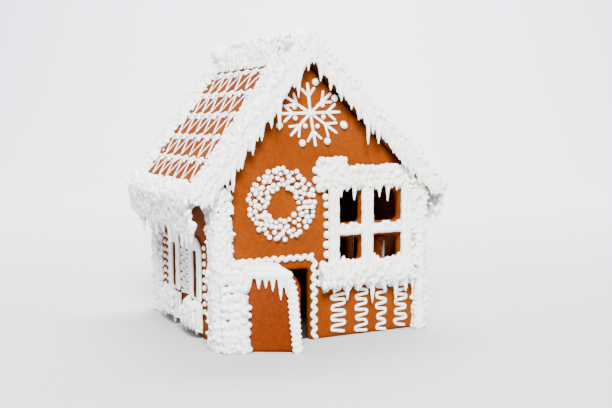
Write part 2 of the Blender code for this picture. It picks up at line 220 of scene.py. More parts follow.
def crust_nodes(tree, shader, dark, light):
    """Browning in broad soft clouds, a fine crumb of darker specks and shallow pores."""
    place = tree.nodes.new("ShaderNodeTexCoord").outputs["Object"]
    cloud = add_node(tree, "ShaderNodeTexNoise", Vector=place, Scale=22.0, Detail=3.0)
    crumb = add_node(tree, "ShaderNodeTexNoise", Vector=place, Scale=420.0, Detail=4.0)
    speck = add_node(tree, "ShaderNodeTexVoronoi", Vector=place, Scale=260.0)
    colour = ramp(tree, cloud.outputs["Fac"], (0.32, dark), (0.68, light))
    crumbs = (0.35, (0.86, 0.84, 0.82)), (0.62, (1.05, 1.05, 1.05))
    colour = mixed(tree, "MULTIPLY", 1.0, colour, ramp(tree, crumb.outputs["Fac"], *crumbs))
    pores = (0.05, (0.72, 0.66, 0.62)), (0.16, (1.0, 1.0, 1.0))
    specks = ramp(tree, speck.outputs["Distance"], *pores)
    colour = mixed(tree, "MULTIPLY", 0.5, colour, specks)
    tree.links.new(colour, shader.inputs["Base Color"])
    shader.inputs["Roughness"].default_value = 0.7
    shader.inputs["Specular IOR Level"].default_value = 0.03
    roughen(tree, shader, crumb)


crust_nodes(crust_tree, crust_shader, (0.132, 0.0235, 0.0014), (0.164, 0.0325, 0.0026))
door_crust, door_tree, door_shader = shader_of("gingerbread_door")
crust_nodes(door_tree, door_shader, (0.108, 0.0165, 0.0020), (0.131, 0.0215, 0.0028))


def arrays(mesh):
    """A mesh's vertex places, its vertex normals and its edges as arrays."""
    count = len(mesh.vertices)
    places = np.empty(count * 3)
    mesh.vertices.foreach_get("co", places)
    normals = np.empty(count * 3)
    mesh.vertex_normals.foreach_get("vector", normals)
    edges = np.empty(len(mesh.edges) * 2, dtype=np.int64)
    mesh.edges.foreach_get("vertices", edges)
    return places.reshape(-1, 3), normals.reshape(-1, 3), edges.reshape(-1, 2)


def move_to(mesh, places):
    """Puts the mesh's vertices in these places."""
    mesh.vertices.foreach_set("co", places.ravel())
    mesh.update()


def relaxed(places, edges, rounds):
    """Each vertex drawn halfway to the middle of its neighbours, this many times."""
    count = len(places)
    neighbours = np.bincount(edges.ravel(), minlength=count)[:, None]
    for _ in range(rounds):
        total = np.empty_like(places)
        for axis in range(3):
            ahead = np.bincount(edges[:, 0], places[edges[:, 1], axis], count)
            behind = np.bincount(edges[:, 1], places[edges[:, 0], axis], count)
            total[:, axis] = ahead + behind
        places = places * 0.5 + total / neighbours * 0.5
    return places


def uneven(places, pitch, seed):
    """Smooth noise from about -1 to 1 at each place; pitch is the size of its lumps, and
    each seed reads another part of the noise."""
    shift = Vector((seed * 7.31, seed * 3.17, seed * 5.73))
    scale = 1.0 / (pitch * MM)
    return np.array([noise.noise(Vector(place) * scale + shift) for place in places])


def skin(name, points, faces, cell, rounds, lumps, seed):
    """One closed skin over a heap of closed shapes, as a new mesh: cell is the width of
    its faces, rounds how much it is smoothed, and lumps its (height, pitch) pairs. Its
    attribute "hollow" says how far each place lies below its surroundings."""
    heap_mesh = bpy.data.meshes.new(name + "_heap")
    heap_mesh.from_pydata(points, [], faces)
    heap_object = add_object(name + "_heap", heap_mesh)
    remesh = heap_object.modifiers.new("skin", "REMESH")
    remesh.mode = "VOXEL"
    remesh.voxel_size = cell * MM
    graph = bpy.context.evaluated_depsgraph_get()
    mesh = bpy.data.meshes.new_from_object(heap_object.evaluated_get(graph))
    mesh.name = name
    bpy.data.objects.remove(heap_object)
    bpy.data.meshes.remove(heap_mesh)
    places, _, edges = arrays(mesh)
    move_to(mesh, relaxed(places, edges, rounds))
    for number, (height, pitch) in enumerate(lumps):
        places, normals, _ = arrays(mesh)
        places += normals * (uneven(places, pitch, seed + number) * height * MM)[:, None]
        move_to(mesh, places)
    places, normals, edges = arrays(mesh)
    around = relaxed(places, edges, 6)
    sunk = ((around - places) * normals).sum(axis=1) / MM
    hollow = mesh.attributes.new("hollow", "FLOAT", "POINT")
    hollow.data.foreach_set("value", sunk)
    mesh.polygons.foreach_set("use_smooth", [True] * len(mesh.polygons))
    mesh.update()
    return mesh


def add_piece(name, mesh, material, slot, *nodes):
    """A finished piece of the house, which stands for some of the CAD nodes."""
    mesh.materials.clear()
    mesh.materials.append(material)
    piece = add_object(name, mesh)
    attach(piece, "root")
    if nodes:
        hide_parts(*nodes)


def solid_of(node):
    """The points and faces of a CAD node, with its doubled vertices merged."""
    shape = bmesh.new()
    shape.from_mesh(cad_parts[node].data)
    bmesh.ops.remove_doubles(shape, verts=shape.verts[:], dist=0.01 * MM)
    bmesh.ops.recalc_face_normals(shape, faces=shape.faces[:])
    points = [tuple(vertex.co) for vertex in shape.verts]
    faces = [tuple(vertex.index for vertex in face.verts) for face in shape.faces]
    shape.free()
    return points, faces


def bake_slab(node, material, seed):
    """One slab with softened edges and a wavy face, its foot kept on the ground."""
    points, faces = solid_of(node)
    lumps = ((0.35, 26), (0.10, 7))
    mesh = skin(node + "_baked", points, faces, cell=1.25, rounds=6, lumps=lumps, seed=seed)
    places, _, _ = arrays(mesh)
    warp_pitch = 34
    places[:, 0] += uneven(places, warp_pitch, seed + 5) * 0.5 * MM
    places[:, 2] += uneven(places, warp_pitch, seed + 6) * 0.4 * MM
    places[:, 2] = np.maximum(places[:, 2], 0.0)
    move_to(mesh, places)
    add_piece(node + "_baked", mesh, material, "gingerbread", node)


for number, node in enumerate(("wall_front", "wall_back", "wall_left", "wall_right")):
    bake_slab(node, crust, 10 + number)
for number, node in enumerate(("roof_left", "roof_right")):
    bake_slab(node, crust, 20 + number)
bake_slab("door", door_crust, 30)

# ---------------------------------------------------------------- icing on the gable edges
# Stiff royal icing is heaped over the edge of each roof slab in small pulled dabs. It covers
# the cut edge, hangs below it over the wall, and ends in teeth and thin icicles. Each mass
# is one continuous skin that wraps the slab and meets its neighbour at the ridge.

icing, icing_tree, icing_shader = shader_of("royal_icing")
icing_place = icing_tree.nodes.new("ShaderNodeTexCoord").outputs["Object"]
NOISE = "ShaderNodeTexNoise"
icing_cloud = add_node(icing_tree, NOISE, Vector=icing_place, Scale=95.0, Detail=2.0)
icing_grain = add_node(icing_tree, NOISE, Vector=icing_place, Scale=700.0, Detail=3.0)
icing_colour = ramp(
    icing_tree,
    icing_cloud.outputs["Fac"],
    (0.26, (0.78, 0.755, 0.66)),
    (0.40, (0.85, 0.847, 0.82)),
    (0.8, (0.865, 0.865, 0.845)),
)
# Painted shade: the icing's colour is darkened where its skin lies below its surroundings, in the
# creases between the dabs.
hollow_node = icing_tree.nodes.new("ShaderNodeAttribute")
hollow_node.attribute_name = "hollow"
painted_crease_shade_stops = (0.0, (1.0, 1.0, 1.0)), (0.26, (0.62, 0.60, 0.54))
painted_crease_shade = ramp(icing_tree, hollow_node.outputs["Fac"], *painted_crease_shade_stops)
icing_colour = mixed(icing_tree, "MULTIPLY", 1.0, icing_colour, painted_crease_shade)
icing_tree.links.new(icing_colour, icing_shader.inputs["Base Color"])
icing_shader.inputs["Roughness"].default_value = 0.55
icing_shader.inputs["Specular IOR Level"].default_value = 0.35
roughen(icing_tree, icing_shader, icing_grain)

ball = bmesh.new()
bmesh.ops.create_icosphere(ball, subdivisions=2, radius=1.0)
BALL_POINTS = np.array([vertex.co for vertex in ball.verts])
BALL_FACES = np.array([[vertex.index for vertex in face.verts] for face in ball.faces])
ball.free()


class Heap:
    """Closed shapes of icing gathered in the frame's metres, to be joined into one piece."""

    def __init__(self, *nodes):
        self.points = []
        self.faces = []
        self.count = 0
        for node in nodes:
            points, faces = solid_of(node)
            self.add(np.array(points), faces)

    def add(self, points, faces):
        """One more closed shape."""
        self.points.append(points)
        self.faces.extend([[index + self.count for index in face] for face in faces])
        self.count += len(points)

    def all_points(self):
        """The points of all its shapes."""
        return np.concatenate(self.points)


def unit(direction):
    """The same direction with length 1."""
    direction = np.asarray(direction, dtype=float)
    return direction / np.linalg.norm(direction)


def dab(heap, place, aim, out, size, point=0.0):
    """An egg of icing. size is its half length along aim, its half width and its half
    height along out; point draws its forward end in towards a tip."""
    long, wide, high = size
    forward = unit(aim)
    across = unit(np.cross(forward, unit(out)))
    upward = np.cross(across, forward)
    draw = 1 - point * np.clip(BALL_POINTS[:, 2], 0, 1) ** 1.3
    shape = (
        np.outer(BALL_POINTS[:, 0] * wide * draw, across)
        + np.outer(BALL_POINTS[:, 1] * high * draw, upward)
        + np.outer(BALL_POINTS[:, 2] * long, forward)
    )
    heap.add((shape + np.asarray(place)) * MM + np.array(MIDDLE), BALL_FACES)


def stepped(dice, start, stop, least, most):
    """Places from start up to stop, at steps drawn between least and most."""
    while start < stop:
        yield start
        start += dice.uniform(least, most)


def strew(heap, dice, surface, spans, pitch, aim, size, stray=0.7, lift=0.7, point=0.55):
    """Small overlapping dabs all over a patch. surface(u, v) gives a place on it and the way
    it faces, spans are the patch's two ranges, and aim is the way the dabs are pulled."""
    (u_low, u_high), (v_low, v_high) = spans
    rows = max(1, round((v_high - v_low) / pitch))
    columns = max(1, round((u_high - u_low) / pitch))
    for row in range(rows + 1):
        for column in range(columns + 1):
            u = u_low + (u_high - u_low) * (column + (0.5 if row % 2 else 0.0)) / columns
            v = v_low + (v_high - v_low) * row / rows
            u += dice.uniform(-0.35, 0.35) * pitch
            v += dice.uniform(-0.35, 0.35) * pitch
            place, out = surface(u, v)
            loose = np.array([dice.uniform(-stray, stray) for _ in range(3)])
            grow = dice.uniform(0.75, 1.3)
            lifted = place + out * dice.uniform(-lift, lift)
            sizes = tuple(length * grow * dice.uniform(0.9, 1.1) for length in size)
            dab(heap, lifted, np.asarray(aim) + loose, out, sizes, point)


def rope(heap, path, radii, out=None, flat=1.0, sides=10):
    """A piped line along path with a radius at each point and rounded ends. With out, the
    line is flattened by this share along out, as it lies on a face."""
    path = np.asarray(path, dtype=float)
    radii = np.broadcast_to(np.asarray(radii, dtype=float), (len(path),))
    tangents = np.gradient(path, axis=0)
    tangents /= np.linalg.norm(tangents, axis=1)[:, None]
    first, last = tangents[0], tangents[-1]
    # Each end is closed by a narrower ring and a tip beyond it.
    ends = path[0] - first * radii[0] * 0.6, path[-1] + last * radii[-1] * 0.6
    centres = np.array([ends[0], *path, ends[1]])
    widths = np.array([radii[0] * 0.72, *radii, radii[-1] * 0.72])
    directions = np.array([first, *tangents, last])
    guide = unit(out if out is not None else (0.31, 0.52, 0.79))
    across = np.cross(directions, guide)
    across /= np.linalg.norm(across, axis=1)[:, None]
    upward = np.cross(across, directions)
    turns = np.arange(sides) * (2 * math.pi / sides)
    rings = (
        centres[:, None]
        + np.cos(turns)[None, :, None] * (across * widths[:, None])[:, None]
        + np.sin(turns)[None, :, None] * (upward * widths[:, None] * flat)[:, None]
    )
    count = len(centres)
    tips = [path[0] - first * radii[0], path[-1] + last * radii[-1]]
    points = np.vstack([rings.reshape(-1, 3), tips])
    faces = []
    for ring in range(count - 1):
        low, high = ring * sides, (ring + 1) * sides
        for side in range(sides):
            after = (side + 1) % sides
            faces.append((low + side, high + side, high + after, low + after))
    low = (count - 1) * sides
    for side in range(sides):
        after = (side + 1) % sides
        faces.append((count * sides, side, after))
        faces.append((count * sides + 1, low + after, low + side))
    heap.add(points * MM + np.array(MIDDLE), faces)


def icicle(heap, top, length, thick):
    """A drip that hangs straight down from top, thick at its root and drawn out to a tip."""
    shares = np.linspace(0, 1, max(5, int(length / 1.5)))
    path = np.tile(np.asarray(top, dtype=float), (len(shares), 1))
    path[:, 2] = top[2] + thick - (length + thick) * shares
    rope(heap, path, thick * (1 - shares) ** 0.8 + 0.5)


STIFF = ((0.25, 3.4), (0.14, 1.5))


def add_icing(name, heap, nodes, seed, cell=0.6, rounds=1, lumps=STIFF):
    """The finished mass: one smooth skin over the heap, with the small lumps of stiff icing."""
    mesh = skin(name, heap.all_points(), heap.faces, cell, rounds, lumps, seed)
    places, _, _ = arrays(mesh)
    places[:, 2] = np.maximum(places[:, 2], 0.0)
    move_to(mesh, places)
    add_piece(name, mesh, icing, "royal_icing", *nodes)


# The walls' outer faces, and the roof's: ridge line, eave lines and how far the slabs run.
HALF_WIDTH, HALF_DEPTH = 75.0, 71.0
RIDGE = np.array([-14.5, 199.5])
EAVES = {"left": np.array([-91.4, 99.8]), "right": np.array([86.7, 101.9])}
ROOF_END = 77.0
DOWN = np.array([0.0, 0.0, -1.0])
UP = np.array([0.0, 0.0, 1.0])


def roof_axes(side):
    """The direction down one roof face and its outward normal, and the face's length."""
    down = EAVES[side] - RIDGE
    length = np.linalg.norm(down)
    down = down / length
    turn = 1 if side == "right" else -1
    normal = np.array([-down[1], down[0]]) * turn
    return np.array([down[0], 0, down[1]]), np.array([normal[0], 0, normal[1]]), length


def on_roof(side, along, y, proud):
    """A place on a roof face: this far down from the ridge, and this far off the face."""
    down, normal, _ = roof_axes(side)
    spot = np.array([RIDGE[0], 0, RIDGE[1]]) + down * along + normal * proud
    spot[1] = y
    return spot


def draw_in(heap, side, start=-20.0, lowest=-99.0):
    """Moves the first body of a heap so that it starts this far down the slope at the
    earliest, and hangs no lower than this below the roof's face."""
    down, normal, _ = roof_axes(side)
    points = (heap.points[0] - np.array(MIDDLE)) / MM
    from_ridge = points - np.array([RIDGE[0], 0.0, RIDGE[1]])
    points = points + np.outer(np.maximum(0.0, start - from_ridge @ down), down)
    points = points + np.outer(np.maximum(0.0, lowest - from_ridge @ normal), normal)
    heap.points[0] = points * MM + np.array(MIDDLE)


def pull_verge(name, side, end, cover, cell, icicles):
    """The icing over one gable edge. end is -1 at the front and 1 at the back, and cover is
    how far it reaches back over the slab at the ridge and at the foot. icicles lists
    (distance down the slope, length) for the drips that hang free of the rest."""
    dice = random.Random(name)
    down, normal, length = roof_axes(side)
    heap = Heap(name)
    draw_in(heap, side, lowest=-8.5)
    outward = np.array([0.0, end, 0.0])

    def top(along, back):
        """On the slab: back is the share of the way back from the gable edge."""
        depth = cover[0] + (cover[1] - cover[0]) * min(1.0, max(0.0, along / length))
        height = 3.9 - 3.0 * back**2.2
        return on_roof(side, along, end * (ROOF_END - 1.0 - back * (depth - 1.5)), height), normal

    def crest(along, turn):
        """On the rolled edge: turn goes from the slab's face to the gable's."""
        lean = unit(normal * math.cos(turn) + outward * math.sin(turn))
        return on_roof(side, along, end * (ROOF_END + 0.2), 1.0) + lean * 3.2, lean

    def face(along, drop):
        """On the part that hangs in front of the gable, this far below the slab's face."""
        return on_roof(side, along, end * (ROOF_END + 3.8 - 0.06 * drop), 2.0 - drop), outward

    full, hanging, sharp = (1.0, length + 0.5), ((1.0, length + 1.0), (0.0, 7.0)), 0.75
    for back in np.linspace(0.0, 1.0, round(cover[0] / 4.2) + 1):
        pulled = down * 0.5 + outward * 0.6 + normal * 0.25
        strew(heap, dice, top, (full, (back, back)), 3.2, pulled, (2.5, 1.4, 1.3), 0.9, 0.6, sharp)
    for turn in (0.1, 0.7, 1.3):
        pulled, spans = down * 0.6 + outward * 0.4, (full, (turn, turn))
        strew(heap, dice, crest, spans, 3.1, pulled, (2.9, 1.5, 1.5), 1.0, 1.0, sharp)
    pulled = DOWN + down * 0.3 + outward * 0.3
    strew(heap, dice, face, hanging, 3.1, pulled, (2.7, 1.35, 1.3), 0.8, 0.9, sharp)
    for along in stepped(dice, 7.0, length - 1, 2.4, 4.0):
        out = end * (ROOF_END + dice.uniform(1.8, 4.0))
        root = on_roof(side, along, out, dice.uniform(-8.0, -6.5))
        icicle(heap, root, dice.choice((2.5, 3.5, 4.5, 6.0)), dice.uniform(1.0, 1.5))
    for along, reach in icicles:
        icicle(heap, on_roof(side, along, end * (ROOF_END + 3.4), -7.5), reach, 1.6)
    if side == "left":
        # The blob where the two edges meet at the top of the gable.
        centre = np.array([-15.0, end * HALF_DEPTH, 197.5])
        for _ in range(130):
            heading, rise = dice.uniform(0, 2 * math.pi), dice.uniform(-0.1, 1.0)
            spread = math.sqrt(1 - min(1.0, rise * rise))
            level = 13.0 * spread * math.cos(heading), 9.0 * spread * math.sin(heading)
            reach = np.array([*level, 8.0 * rise])
            way = unit(reach + UP * 0.2)
            loose = np.array([dice.uniform(-0.8, 0.8) for _ in range(3)])
            dab(heap, centre + reach, outward + way * 0.5 + loose, way, (2.7, 1.5, 1.5), 0.75)
        dab(heap, centre - UP, outward, UP, (10.5, 12.5, 8.0))
    add_icing(name + "_pulled", heap, [name], len(name) + (3 if side == "left" else 5), cell)


# The front edges are covered further back than the back ones, and their skin is finer.
FRONT, BACK = (-1, (34.0, 18.0), 0.56), (1, (14.0, 12.0), 0.64)
for edge, gable, icicles in (
    ("front_left", FRONT, ((24, 14), (46, 17), (55, 9), (66, 8), (76, 9), (88, 8), (98, 14))),
    ("front_right", FRONT, ((5, 12), (17, 10), (27, 9), (38, 8), (56, 8), (66, 17), (77, 9))),
    ("back_left", BACK, ((16, 13), (37, 10), (61, 15), (84, 11), (101, 13))),
    ("back_right", BACK, ((12, 15), (36, 11), (66, 16), (91, 12), (115, 10))),
):
    pull_verge("icing_verge_" + edge, edge.split("_")[1], *gable, icicles)

# ---------------------------------------------------------------- icing along the ridge
# A thick cap of the same icing fills the groove between the two roof slabs and covers the
# ridge. It is crowned in the middle and its two lower edges end in short scallops.

ridge_dice = random.Random("ridge cap")
ridge_heap = Heap("icing_ridge")
RIDGE_RUN = (-44.0, 64.0)


def ridge_cap(side, y, along):
    """A place on the cap's rounded face, and the way it faces."""
    return on_roof(side, along, y, 4.4 - 0.012 * along**2), roof_axes(side)[1]


for side in ("left", "right"):
    down, normal, _ = roof_axes(side)
    cap = partial(ridge_cap, side)
    strew(ridge_heap, ridge_dice, cap, (RIDGE_RUN, (0.0, 16.0)), 3.2, down, (2.7, 1.7, 1.5))
    for y in stepped(ridge_dice, *RIDGE_RUN, 3.0, 5.0):
        low = on_roof(side, 17.0, y, 1.0)
        dab(ridge_heap, low, down, normal, (ridge_dice.uniform(2.5, 4.5), 2.0, 1.6), 0.4)
y = RIDGE_RUN[0]
while y < RIDGE_RUN[1]:
    x = RIDGE[0] + ridge_dice.uniform(-3, 3)
    crown = np.array([x, y, RIDGE[1] + ridge_dice.uniform(4.0, 6.0)])
    dab(ridge_heap, crown, (ridge_dice.uniform(-1, 1), 1, 0), UP, (3.0, 2.2, 2.0), 0.5)
    y += 1.5
add_icing("icing_ridge_pulled", ridge_heap, ["icing_ridge"], seed=2)

# ---------------------------------------------------------------- icing along the eaves
# Along each eave the icing is heaped over the slab's lower edge and hangs outside the wall.
# It is the heaviest of the masses, with long icicles, and joins the two gable edges.


def pull_eave(name, side, icicles):
    """The icing along one eave. icicles lists (Y, length) for its longest drips."""
    dice = random.Random(name)
    down, normal, length = roof_axes(side)
    out = np.array([-1.0 if side == "left" else 1.0, 0.0, 0.0])
    heap = Heap(name)
    draw_in(heap, side, start=length - 6.5)
    run = (-75.0, 70.0)

    def top(y, along):
        return on_roof(side, length + along, y, 4.8 - 0.02 * along * along), normal

    def face(y, drop):
        place = on_roof(side, length + 5.5, y, 1.5) + DOWN * drop
        return place + out * (1.2 - 0.2 * drop), out

    strew(heap, dice, top, (run, (-6.0, 4.0)), 3.2, down, (2.8, 1.8, 1.5))
    pulled = DOWN + out * 0.3
    strew(heap, dice, face, (run, (-1.0, 17.0)), 3.2, pulled, (2.9, 1.6, 1.5), 0.9, 1.1, 0.7)
    for y in stepped(dice, *run, 2.8, 4.6):
        root = face(y, dice.uniform(15.0, 18.0))[0] - out * dice.uniform(0.0, 3.0)
        icicle(heap, root, dice.choice((3.0, 5.0, 7.0, 9.0)), dice.uniform(1.5, 2.1))
    for y, reach in icicles:
        icicle(heap, face(y, 16.0)[0] - out * 1.0, reach, 2.1)
    add_icing(name + "_pulled", heap, [name], seed=len(name))


icicles = (-69, 11), (-61, 14), (-52, 14), (-40, 12), (-24, 15), (-8, 10), (9, 14), (27, 11)
pull_eave("icing_eave_left", "left", (*icicles, (44, 15)))
icicles = (-50, 12), (-35, 15), (-19, 10), (2, 14), (20, 11), (38, 15), (53, 11)
pull_eave("icing_eave_right", "right", icicles)

# ---------------------------------------------------------------- icing up the corners
# The walls are glued where they meet, and each joint is covered by a column of icing piped
# to and fro across the corner, so that its two edges are rows of rounded finger ends.


def threaded(corners, count):
    """Marks from the first corner to the last, and the place at each mark."""
    marks = np.linspace(0, len(corners) - 1, count)
    path = [np.interp(marks, range(len(corners)), corners[:, axis]) for axis in range(3)]
    return marks, np.stack(path, axis=1)


def pull_corner(name, across, along, wide):
    """across and along are the signs of the corner's X and Y. wide(z) is how far the
    strokes reach over the gable wall at a height."""
    dice = random.Random(name)
    heap = Heap(name)
    gable, flank = np.array([0.0, along, 0.0]), np.array([across, 0.0, 0.0])
    wx, wy = HALF_WIDTH, HALF_DEPTH

    def flank_reach(z):
        """The same for the side wall, more where the eave's icing joins the column."""
        return 11.5 + 9.0 * min(1.0, max(0.0, (z - 82) / 8))

    for z in stepped(dice, 2.2, 105, 3.6, 5.6):
        reach = wide(z) + dice.uniform(-2.0, 1.0)
        back = flank_reach(z) + dice.uniform(-0.9, 2.7)
        bulge = dice.uniform(1.8, 3.6)
        ends = [z + dice.uniform(-2.0, 1.0), z + dice.uniform(-2.0, 1.0)]
        corners = np.array(
            [
                (wx - reach, wy + 1.0, ends[0]),
                (wx - reach * 0.5, wy + bulge, z + dice.uniform(-1.2, 1.2)),
                (wx + 0.4, wy + 2.2, z + dice.uniform(-1.0, 1.0)),
                (wx + bulge, wy - back * 0.45, z + dice.uniform(-1.2, 1.2)),
                (wx + 0.8, wy - back, ends[1]),
            ]
        ) * (across, along, 1)
        marks, path = threaded(corners, 24)
        wave = np.sin(marks * dice.uniform(2, 4) + dice.uniform(0, 6))
        radii = 2.1 + 0.5 * wave + dice.uniform(-0.2, 0.4)
        radii[:3] = dice.uniform(1.7, 2.3)
        radii[-3:] = dice.uniform(1.7, 2.3)
        rope(heap, path, radii)

    def gable_face(u, z):
        return np.array([across * (wx - u), along * (wy + 4.0), z]), gable

    def flank_face(u, z):
        return np.array([across * (wx + 3.4), along * (wy - u), z]), flank

    for surface, run, out in ((gable_face, wide, gable), (flank_face, flank_reach, flank)):
        for z in np.arange(2.5, 106, 3.2):
            pulled = np.array([0.2, 0.2, 0.6]) + out * 0.5
            spans = (-1.5, run(z) - 2.5), (z, z)
            strew(heap, dice, surface, spans, 3.1, pulled, (2.7, 1.4, 1.3), 1.3, 1.3, 0.75)
    add_icing(name + "_piped", heap, [name], len(name) + 4)


def front_left_reach(z):
    """Wide up to the top of the door's hinge, and narrow above it."""
    return 15.5 if z < 55 else 15.5 - 8.0 * min(1.0, (z - 55) / 5)


pull_corner("icing_corner_front_left", -1, -1, front_left_reach)
pull_corner("icing_corner_front_right", 1, -1, lambda z: 6.0 if z < 68 else 10.0)
pull_corner("icing_corner_back_left", -1, 1, lambda z: 8.5)
pull_corner("icing_corner_back_right", 1, 1, lambda z: 9.5)

# ---------------------------------------------------------------- icing that holds the door
# The door stands ajar, glued along its hinge side by a wide mass of icing that wraps round
# it from the corner column. A smooth band with icicles lies along its top, and a piped line
# runs down its free edge.

HINGE = np.array([-67.5, -77.6, 0.0])
AJAR = math.radians(28)
DOOR_ALONG = np.array([math.cos(AJAR), -math.sin(AJAR), 0.0])
DOOR_OUT = np.array([-math.sin(AJAR), -math.cos(AJAR), 0.0])


def on_door(along, z, proud):
    """A place on the door: this far from its hinge, and this far off its front face."""
    return HINGE + DOOR_ALONG * along + DOOR_OUT * proud + UP * z


hinge_dice = random.Random("door hinge")
hinge_heap = Heap("icing_door_hinge")
for z in stepped(hinge_dice, 2.4, 57, 5.0, 6.6):
    reach = hinge_dice.uniform(7.0, 10.0)
    bend = on_door(1.5, z + hinge_dice.uniform(-1, 1), 4.4)
    marks, path = threaded(np.array([on_door(-6.0, z, 4.0), bend, on_door(reach, z, 1.2)]), 14)
    rope(hinge_heap, path, 2.1 + 0.3 * np.sin(marks * 3 + z) + hinge_dice.uniform(-0.2, 0.2))
strew(
    hinge_heap,
    hinge_dice,
    lambda u, z: (on_door(u, z, 4.4), DOOR_OUT),
    ((-7.0, 4.5), (2.5, 56.0)),
    3.6,
    DOOR_OUT * 0.5 + UP * 0.5,
    (2.7, 1.6, 1.4),
    stray=1.0,
    lift=1.0,
    point=0.7,
)
add_icing("icing_door_hinge_piped", hinge_heap, ["icing_door_hinge"], seed=6)

# The band over the door lies on its top edge and in front of it, and closes the gap to the
# wall behind on the hinge side.
door_top_heap = Heap()
for height, proud, radius, reach in (
    (50.6, 1.4, 2.6, 35.0),
    (54.0, 0.2, 2.9, 34.0),
    (55.2, -3.4, 2.8, 31.0),
    (54.8, -7.4, 2.8, 22.0),
    (55.4, -10.4, 2.6, 14.0),
):
    along = np.linspace(3.0, reach, 18)
    sunk = 5.0 * np.maximum(0.0, (along - reach + 7.0) / 7.0) ** 2 * (height > 52)
    path = np.array([on_door(a, height - drop, proud) for a, drop in zip(along, sunk)])
    rope(door_top_heap, path, radius + 0.25 * np.sin(along * 1.3 + height))
drips = (10.2, 7.5), (15.8, 8.0), (20.3, 7.2), (24.8, 9.0), (29.7, 14.5), (33.4, 11.0)
for along, reach in drips:
    icicle(door_top_heap, on_door(along, 49.0, 1.4), reach, 1.9)
poured_lumps = ((0.2, 4.0),)
add_icing(
    "icing_door_top_poured", door_top_heap, ["icing_door_top"], seed=7, rounds=4, lumps=poured_lumps
)


def free_edge(z):
    """How far from the hinge the line down the free edge runs, drawn in at the round corner."""
    return 40.4 - 0.085 * z - 3.2 * max(0.0, (z - 38.0) / 12.0) ** 2


door_side_heap = Heap()
path, radii = [], []
for step in range(81):
    share = step / 80
    z = 1.8 + 48.0 * share
    path.append(on_door(free_edge(z) + 0.5 * math.sin(step * 0.95), z, 1.3))
    radii.append(2.75 + 0.35 * math.sin(step * 0.95 + 1.0))
rope(door_side_heap, path, radii, DOOR_OUT, 0.85)
for step in range(26):
    z = 2.0 + 1.75 * step
    aside = 1.8 if step % 2 else -1.8
    place = on_door(free_edge(z) + aside, z, 1.6)
    dab(door_side_heap, place, DOOR_ALONG * aside + UP * 0.8, DOOR_OUT, (2.4, 1.6, 1.6), 0.5)
add_icing("icing_door_side_piped", door_side_heap, ["icing_door_side"], seed=8)

# ---------------------------------------------------------------- the four-pane window
# The window is four openings in the front slab. Its frame is piped over the crust between
# and around them: a heavy hood that drips, a heaped sill with icicles, smooth posts and
# bars, and a row of dots down each side.


def on_wall(face, u, z, proud):
    """A place on a wall: u to the right as one looks at that wall from outside."""
    return np.array(
        {
            "front": (u, -HALF_DEPTH - proud, z),
            "back": (-u, HALF_DEPTH + proud, z),
            "left": (-HALF_WIDTH - proud, -u, z),
            "right": (HALF_WIDTH + proud, u, z),
        }[face]
    )


WALL_OUT = {
    "front": np.array([0.0, -1.0, 0.0]),
    "back": np.array([0.0, 1.0, 0.0]),
    "left": np.array([-1.0, 0.0, 0.0]),
    "right": np.array([1.0, 0.0, 0.0]),
}
FRONT_OUT, BACK_OUT = WALL_OUT["front"], WALL_OUT["back"]

hood_dice = random.Random("window hood")
hood_heap = Heap("icing_window_hood")


def hood_face(u, z):
    """A place on the hood's face, and the way it faces."""
    return on_wall("front", u, z, 4.6), FRONT_OUT


pulled = DOWN + FRONT_OUT * 0.3
band, step_up = ((-4.0, 66.0), (105.0, 113.5)), ((-3.0, 12.0), (114.0, 120.0))
strew(hood_heap, hood_dice, hood_face, band, 3.5, pulled, (2.9, 1.6, 1.4), 0.7, 0.9, 0.7)
strew(hood_heap, hood_dice, hood_face, step_up, 3.6, DOWN, (2.8, 2.1, 1.6))
for u in stepped(hood_dice, -4.0, 67, 3.4, 4.4):
    crown = on_wall("front", u, (121.0 if u < 13 else 115.0) + hood_dice.uniform(-0.6, 0.9), 3.0)
    dab(hood_heap, crown, (hood_dice.uniform(-0.4, 0.4), 0, 1), FRONT_OUT, (2.4, 2.3, 2.6))
for z in (103.0, 108.0, 113.5, 118.5):
    dab(hood_heap, on_wall("front", -5.4, z, 2.6), (0, 0, 1), FRONT_OUT, (2.9, 2.3, 2.5))
for u in stepped(hood_dice, -3.0, 66, 3.6, 5.4):
    icicle(hood_heap, on_wall("front", u, 104.0, 3.2), hood_dice.choice((2.0, 3.0, 4.0)), 1.5)
for u, reach in ((10.5, 8), (20.5, 10.5), (31, 6), (40, 9), (46.5, 12), (54, 5), (62, 8)):
    icicle(hood_heap, on_wall("front", u, 104.0, 3.6), reach, 1.6)
add_icing("icing_window_hood_pulled", hood_heap, ["icing_window_hood"], seed=11)

sill_dice = random.Random("window sill")
sill_heap = Heap("icing_window_sill")


def sill_face(u, z):
    """A place on the sill's bulging face, and the way it faces."""
    return on_wall("front", u, z, 8.4 - 0.03 * (z - 42) ** 2), FRONT_OUT


pulled = DOWN + FRONT_OUT * 0.4
ledge = (-3.5, 66.5), (39.0, 50.0)
strew(sill_heap, sill_dice, sill_face, ledge, 3.5, pulled, (3.1, 1.7, 1.6), 0.8, 1.3, 0.7)
for u in stepped(sill_dice, -4.0, 68, 2.8, 3.8):
    crown = on_wall("front", u, 50.6 + sill_dice.uniform(-0.8, 1.6), sill_dice.uniform(2.0, 5.0))
    dab(sill_heap, crown, (sill_dice.uniform(-0.6, 0.6), -0.3, 1), FRONT_OUT, (2.8, 2.0, 2.2), 0.5)
peaks = (12.5, 5.0), (16.0, 2.5), (24.0, 2.0), (36.0, 5.0), (39.0, 3.5), (47.0, 2.0), (56.0, 4.5)
for u, rise in peaks:
    foot = on_wall("front", u, 50.0 + rise * 0.5, 2.6)
    dab(sill_heap, foot, (0.2, 0, 1), FRONT_OUT, (1.5 + rise * 0.6, 2.2, 2.4), 0.6)
